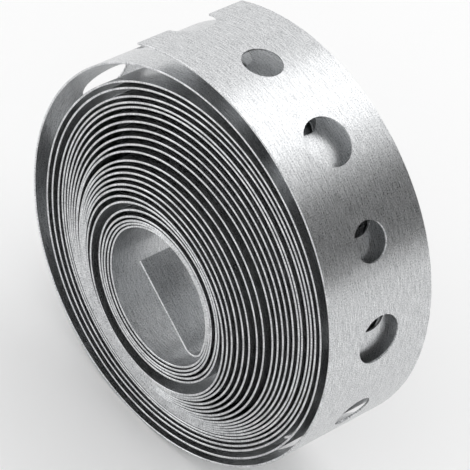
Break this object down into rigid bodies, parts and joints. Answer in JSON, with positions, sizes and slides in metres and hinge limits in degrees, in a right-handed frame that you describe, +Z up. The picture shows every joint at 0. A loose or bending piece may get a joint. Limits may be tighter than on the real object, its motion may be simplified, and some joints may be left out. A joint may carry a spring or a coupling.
{
  "type": "perforated steel strap",
  "caption": "Coil of thin galvanised steel strap punched with round holes of two sizes in turn, standing on its rim, with a sprung outer end and an inner end bent across the bore.",
  "frame": {"origin": "on the floor at the middle of the coil's breadth and depth", "axes": "+Z up; Y along the coil's axis, with the front end and its forward core towards -Y; X across, with the free outer end at the top left"},
  "size_m": [0.0584, 0.0218, 0.0593],
  "materials": {
    "galvanised_steel": "bright galvanised, satin, with fine lines along the strap"
  },
  "bodies": {
    "root": {"strap": "galvanised_steel"}
  },
  "joints": []
}
